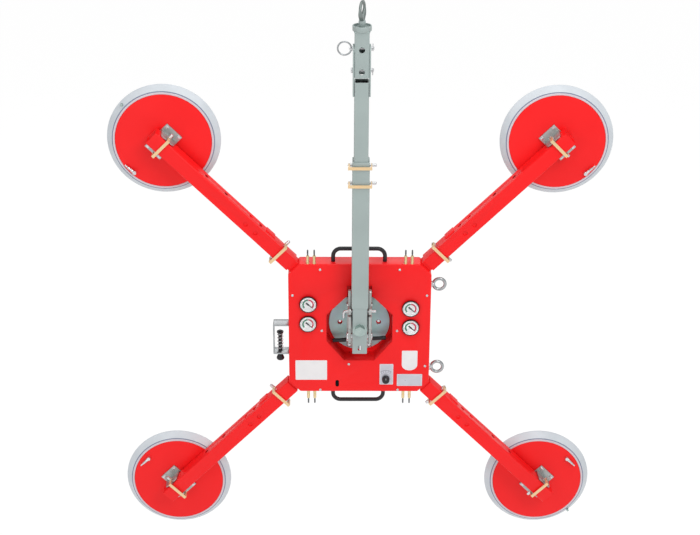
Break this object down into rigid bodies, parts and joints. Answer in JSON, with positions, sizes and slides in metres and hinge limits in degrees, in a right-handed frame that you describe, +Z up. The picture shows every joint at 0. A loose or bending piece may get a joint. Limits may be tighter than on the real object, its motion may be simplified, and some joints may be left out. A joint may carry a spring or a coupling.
{
  "type": "vacuum lifting beam",
  "caption": "Battery vacuum lifting beam: telescopic mast with hook eye, tilting and turning chassis box, sliding diagonal arms and round suction plates.",
  "frame": {"origin": "bearing point of the crane hook: the inner top of the hook eye, on the mast axis", "axes": "+Z up along the mast, +Y towards the suction faces, +X to the right seen from the operating side"},
  "size_m": [1.7832, 0.2175, 2.1263],
  "materials": {
    "red_paint": "glossy red powder coat",
    "grey_paint": "grey-green painted square tube and plate",
    "light_seal": "light grey soft seal",
    "galvanised": "dull galvanised sheet",
    "yellow_zinc": "yellow chromated zinc",
    "bright_steel": "bright zinc plated steel",
    "dark_steel": "dark forged steel",
    "black_plastic": "black grip plastic",
    "dial_case": "black gauge case",
    "needle_black": "black needle",
    "battery_case": "dark grey moulded case",
    "pump_metal": "cast aluminium pump",
    "tank_paint": "dark painted steel tank"
  },
  "bodies": {
    "eye": {"hook_eye": "dark_steel"},
    "head": {"swivel_head": "grey_paint", "head_pin_upper": "bright_steel", "head_pin_lower": "bright_steel", "mast_upper_tube": "grey_paint"},
    "pull_ring": {"head_pull_ring": "bright_steel"},
    "mast": {"mast_lower_tube": "grey_paint", "stop_bolt": "dark_steel", "tilt_pivot_pin": "bright_steel"},
    "lock_pin": {"mast_lock_pin": "bright_steel"},
    "mast_bail_upper": {"mast_pin_bail_upper": "yellow_zinc"},
    "mast_bail_lower": {"mast_pin_bail_lower": "yellow_zinc"},
    "yoke": {"yoke": "grey_paint"},
    "index_plunger": {"index_plunger": "black_plastic"},
    "chassis": {"chassis_frame": "red_paint", "front_cover": "red_paint", "index_disc": "bright_steel", "carry_handle_upper": "black_plastic", "carry_handle_lower": "black_plastic", "catch_bracket": "galvanised", "catch_spring": "bright_steel", "eye_bolt_upper": "bright_steel", "eye_bolt_lower": "bright_steel", "battery_pack": "battery_case", "vacuum_pump": "pump_metal", "vacuum_tank": "tank_paint", "gauge_case_upper_left": "dial_case", "gauge_case_lower_left": "dial_case", "gauge_case_upper_right": "dial_case", "gauge_case_lower_right": "dial_case"},
    "knob": {"selector_knob": "black_plastic"},
    "catch_plunger": {"catch_plunger": "bright_steel"},
    "needle_upper_left": {"gauge_needle_upper_left": "needle_black"},
    "needle_lower_left": {"gauge_needle_lower_left": "needle_black"},
    "needle_upper_right": {"gauge_needle_upper_right": "needle_black"},
    "needle_lower_right": {"gauge_needle_lower_right": "needle_black"},
    "arm_top_left": {"arm_top_left": "red_paint"},
    "arm_bail_top_left": {"arm_bail_top_left": "yellow_zinc"},
    "cup_bail_top_left": {"cup_bail_top_left": "yellow_zinc"},
    "cup_top_left": {"suction_plate_top_left": "red_paint", "suction_seal_top_left": "light_seal", "cup_bracket_top_left": "galvanised"},
    "arm_top_right": {"arm_top_right": "red_paint"},
    "arm_bail_top_right": {"arm_bail_top_right": "yellow_zinc"},
    "cup_bail_top_right": {"cup_bail_top_right": "yellow_zinc"},
    "cup_top_right": {"suction_plate_top_right": "red_paint", "suction_seal_top_right": "light_seal", "cup_bracket_top_right": "galvanised"},
    "arm_bottom_right": {"arm_bottom_right": "red_paint"},
    "arm_bail_bottom_right": {"arm_bail_bottom_right": "yellow_zinc"},
    "cup_bail_bottom_right": {"cup_bail_bottom_right": "yellow_zinc"},
    "cup_bottom_right": {"suction_plate_bottom_right": "red_paint", "suction_seal_bottom_right": "light_seal", "cup_bracket_bottom_right": "galvanised"},
    "arm_bottom_left": {"arm_bottom_left": "red_paint"},
    "arm_bail_bottom_left": {"arm_bail_bottom_left": "yellow_zinc"},
    "cup_bail_bottom_left": {"cup_bail_bottom_left": "yellow_zinc"},
    "cup_bottom_left": {"suction_plate_bottom_left": "red_paint", "suction_seal_bottom_left": "light_seal", "cup_bracket_bottom_left": "galvanised"}
  },
  "joints": [
    {"name": "head_swivel", "type": "hinge", "parent": "eye", "child": "head", "pos_m": [0, 0, -0.0935], "axis": [0, 0, 1], "continuous": true},
    {"name": "pull_ring_flap", "type": "hinge", "parent": "head", "child": "pull_ring", "pos_m": [-0.03565, 0, -0.1545], "axis": [0, 0, 1], "range_deg": [-75, 75]},
    {"name": "mast_slide", "type": "slide", "parent": "head", "child": "mast", "axis": [0, 0, 1], "range_m": [-0.13, 0]},
    {"name": "mast_bail_upper_hinge", "type": "hinge", "parent": "mast", "child": "mast_bail_upper", "pos_m": [-0.041, 0, -0.569], "axis": [0, 0, -1], "range_deg": [0, 100]},
    {"name": "mast_bail_lower_hinge", "type": "hinge", "parent": "mast", "child": "mast_bail_lower", "pos_m": [-0.041, 0, -0.6355], "axis": [0, 0, -1], "range_deg": [0, 100]},
    {"name": "lock_pin_slide", "type": "slide", "parent": "mast", "child": "lock_pin", "axis": [-1, 0, 0], "range_m": [0, 0.12]},
    {"name": "tilt", "type": "hinge", "parent": "mast", "child": "yoke", "pos_m": [0, 0, -1.225], "axis": [-1, 0, 0], "range_deg": [0, 90]},
    {"name": "index_plunger_slide", "type": "slide", "parent": "yoke", "child": "index_plunger", "axis": [0, 1, 0], "range_m": [0, 0.008]},
    {"name": "chassis_turn", "type": "hinge", "parent": "yoke", "child": "chassis", "pos_m": [0, 0.118, -1.225], "axis": [0, 1, 0], "continuous": true},
    {"name": "selector_turn", "type": "hinge", "parent": "chassis", "child": "knob", "pos_m": [0.0985, 0.0516, -1.429], "axis": [0, 1, 0], "range_deg": [-90, 0]},
    {"name": "catch_slide", "type": "slide", "parent": "chassis", "child": "catch_plunger", "axis": [0, 0, -1], "range_m": [0, 0.03], "stiffness_N_per_m": 400, "springref_m": -0.03, "deforming": ["catch_spring"]},
    {"name": "needle_turn_upper_left", "type": "hinge", "parent": "chassis", "child": "needle_upper_left", "pos_m": [-0.186, 0.046, -1.1235], "axis": [0, -1, 0], "range_deg": [0, 264], "stiffness_Nm_per_rad": 0.0005},
    {"name": "needle_turn_lower_left", "type": "hinge", "parent": "chassis", "child": "needle_lower_left", "pos_m": [-0.187, 0.046, -1.202], "axis": [0, -1, 0], "range_deg": [0, 264], "stiffness_Nm_per_rad": 0.0005},
    {"name": "needle_turn_upper_right", "type": "hinge", "parent": "chassis", "child": "needle_upper_right", "pos_m": [0.185, 0.046, -1.14], "axis": [0, -1, 0], "range_deg": [0, 264], "stiffness_Nm_per_rad": 0.0005},
    {"name": "needle_turn_lower_right", "type": "hinge", "parent": "chassis", "child": "needle_lower_right", "pos_m": [0.186, 0.046, -1.2155], "axis": [0, -1, 0], "range_deg": [0, 264], "stiffness_Nm_per_rad": 0.0005},
    {"name": "arm_slide_top_left", "type": "slide", "parent": "chassis", "child": "arm_top_left", "axis": [-0.7071, 0, 0.7071], "range_m": [0, 0.12]},
    {"name": "cup_swing_top_left", "type": "hinge", "parent": "arm_top_left", "child": "cup_top_left", "pos_m": [-0.69198, 0.0975, -0.53302], "axis": [0.7071, 0, 0.7071], "range_deg": [-3.5, 3.5]},
    {"name": "arm_bail_hinge_top_left", "type": "hinge", "parent": "arm_top_left", "child": "arm_bail_top_left", "pos_m": [-0.31997, 0.0975, -0.96302], "axis": [0.7071, 0, -0.7071], "range_deg": [0, 100]},
    {"name": "cup_bail_hinge_top_left", "type": "hinge", "parent": "arm_top_left", "child": "cup_bail_top_left", "pos_m": [-0.72097, 0.0975, -0.56202], "axis": [0.7071, 0, -0.7071], "range_deg": [0, 100]},
    {"name": "arm_slide_top_right", "type": "slide", "parent": "chassis", "child": "arm_top_right", "axis": [0.7071, 0, 0.7071], "range_m": [0, 0.12]},
    {"name": "cup_swing_top_right", "type": "hinge", "parent": "arm_top_right", "child": "cup_top_right", "pos_m": [0.69198, 0.0975, -0.53302], "axis": [0.7071, 0, -0.7071], "range_deg": [-3.5, 3.5]},
    {"name": "arm_bail_hinge_top_right", "type": "hinge", "parent": "arm_top_right", "child": "arm_bail_top_right", "pos_m": [0.26198, 0.0975, -0.90503], "axis": [-0.7071, 0, -0.7071], "range_deg": [0, 100]},
    {"name": "cup_bail_hinge_top_right", "type": "hinge", "parent": "arm_top_right", "child": "cup_bail_top_right", "pos_m": [0.66298, 0.0975, -0.50403], "axis": [-0.7071, 0, -0.7071], "range_deg": [0, 100]},
    {"name": "arm_slide_bottom_right", "type": "slide", "parent": "chassis", "child": "arm_bottom_right", "axis": [0.7071, 0, -0.7071], "range_m": [0, 0.12]},
    {"name": "cup_swing_bottom_right", "type": "hinge", "parent": "arm_bottom_right", "child": "cup_bottom_right", "pos_m": [0.69198, 0.0975, -1.91698], "axis": [-0.7071, 0, -0.7071], "range_deg": [-3.5, 3.5]},
    {"name": "arm_bail_hinge_bottom_right", "type": "hinge", "parent": "arm_bottom_right", "child": "arm_bail_bottom_right", "pos_m": [0.31997, 0.0975, -1.48698], "axis": [-0.7071, 0, 0.7071], "range_deg": [0, 100]},
    {"name": "cup_bail_hinge_bottom_right", "type": "hinge", "parent": "arm_bottom_right", "child": "cup_bail_bottom_right", "pos_m": [0.72097, 0.0975, -1.88798], "axis": [-0.7071, 0, 0.7071], "range_deg": [0, 100]},
    {"name": "arm_slide_bottom_left", "type": "slide", "parent": "chassis", "child": "arm_bottom_left", "axis": [-0.7071, 0, -0.7071], "range_m": [0, 0.12]},
    {"name": "cup_swing_bottom_left", "type": "hinge", "parent": "arm_bottom_left", "child": "cup_bottom_left", "pos_m": [-0.69198, 0.0975, -1.91698], "axis": [-0.7071, 0, 0.7071], "range_deg": [-3.5, 3.5]},
    {"name": "arm_bail_hinge_bottom_left", "type": "hinge", "parent": "arm_bottom_left", "child": "arm_bail_bottom_left", "pos_m": [-0.26198, 0.0975, -1.54497], "axis": [0.7071, 0, 0.7071], "range_deg": [0, 100]},
    {"name": "cup_bail_hinge_bottom_left", "type": "hinge", "parent": "arm_bottom_left", "child": "cup_bail_bottom_left", "pos_m": [-0.66298, 0.0975, -1.94597], "axis": [0.7071, 0, 0.7071], "range_deg": [0, 100]}
  ]
}
